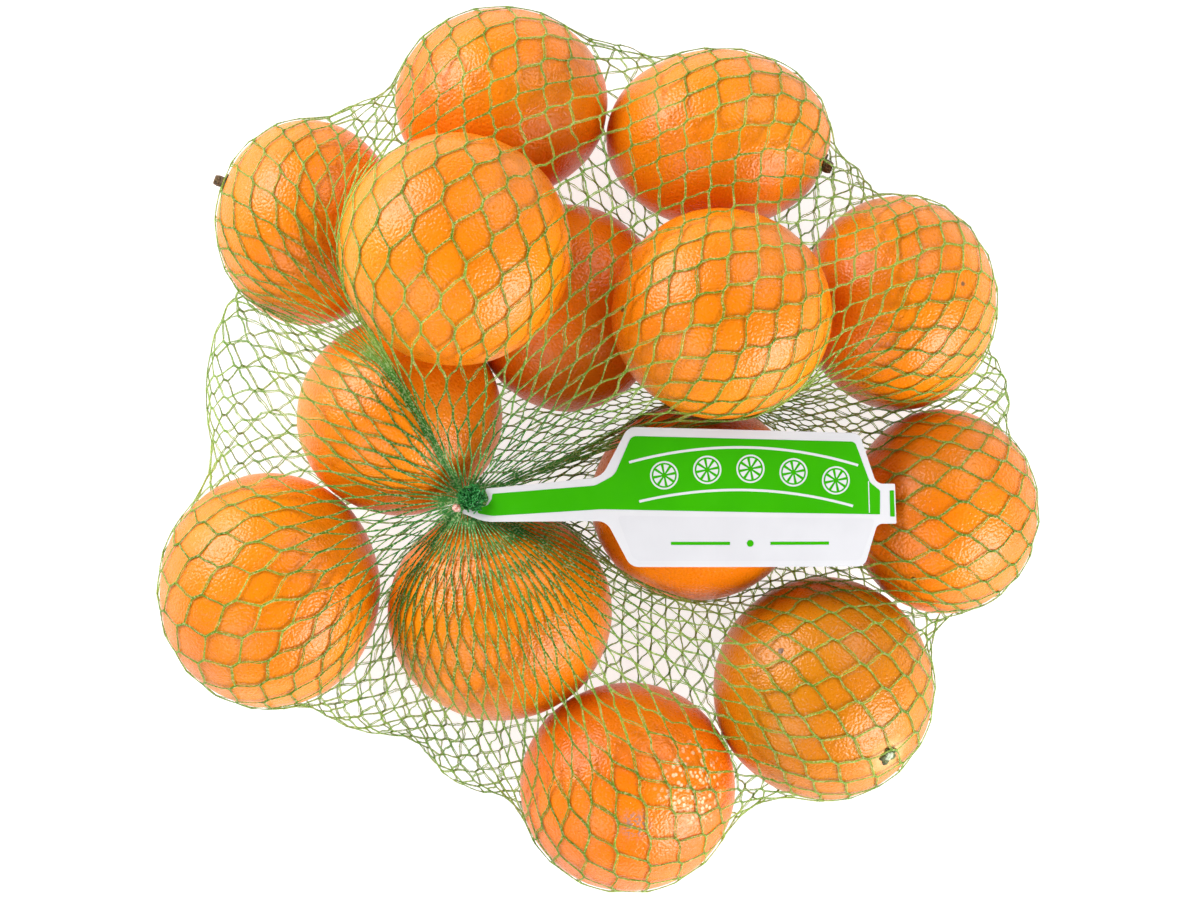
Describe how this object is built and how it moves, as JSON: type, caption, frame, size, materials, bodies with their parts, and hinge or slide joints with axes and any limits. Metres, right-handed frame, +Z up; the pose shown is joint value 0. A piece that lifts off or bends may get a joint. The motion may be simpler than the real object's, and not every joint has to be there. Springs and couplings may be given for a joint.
{
  "type": "net of oranges",
  "caption": "Lumpy knitted net bag packed with round oranges, gathered on top into a cut tuft, with a bent film label on a strap.",
  "frame": {"origin": "middle of the underside, on the surface that the net lies on", "axes": "+Z up, away from the surface; +X along the label from the gather to its tail; +Y across the label, towards the raised oranges"},
  "size_m": [0.2692, 0.2706, 0.1056],
  "materials": {
    "orange_peel": "waxy orange peel with fine pores, semi-gloss",
    "net_strands": "thin green knitted polyethylene tape, semi-gloss",
    "printed_film": "smooth white film printed with green fields, glossy",
    "melted_film": "small melted bead of film, pinkish white"
  },
  "bodies": {
    "root": {"filled_net": "orange_peel", "net_tuft": "net_strands", "label": "printed_film", "weld_bead": "melted_film"}
  },
  "joints": []
}
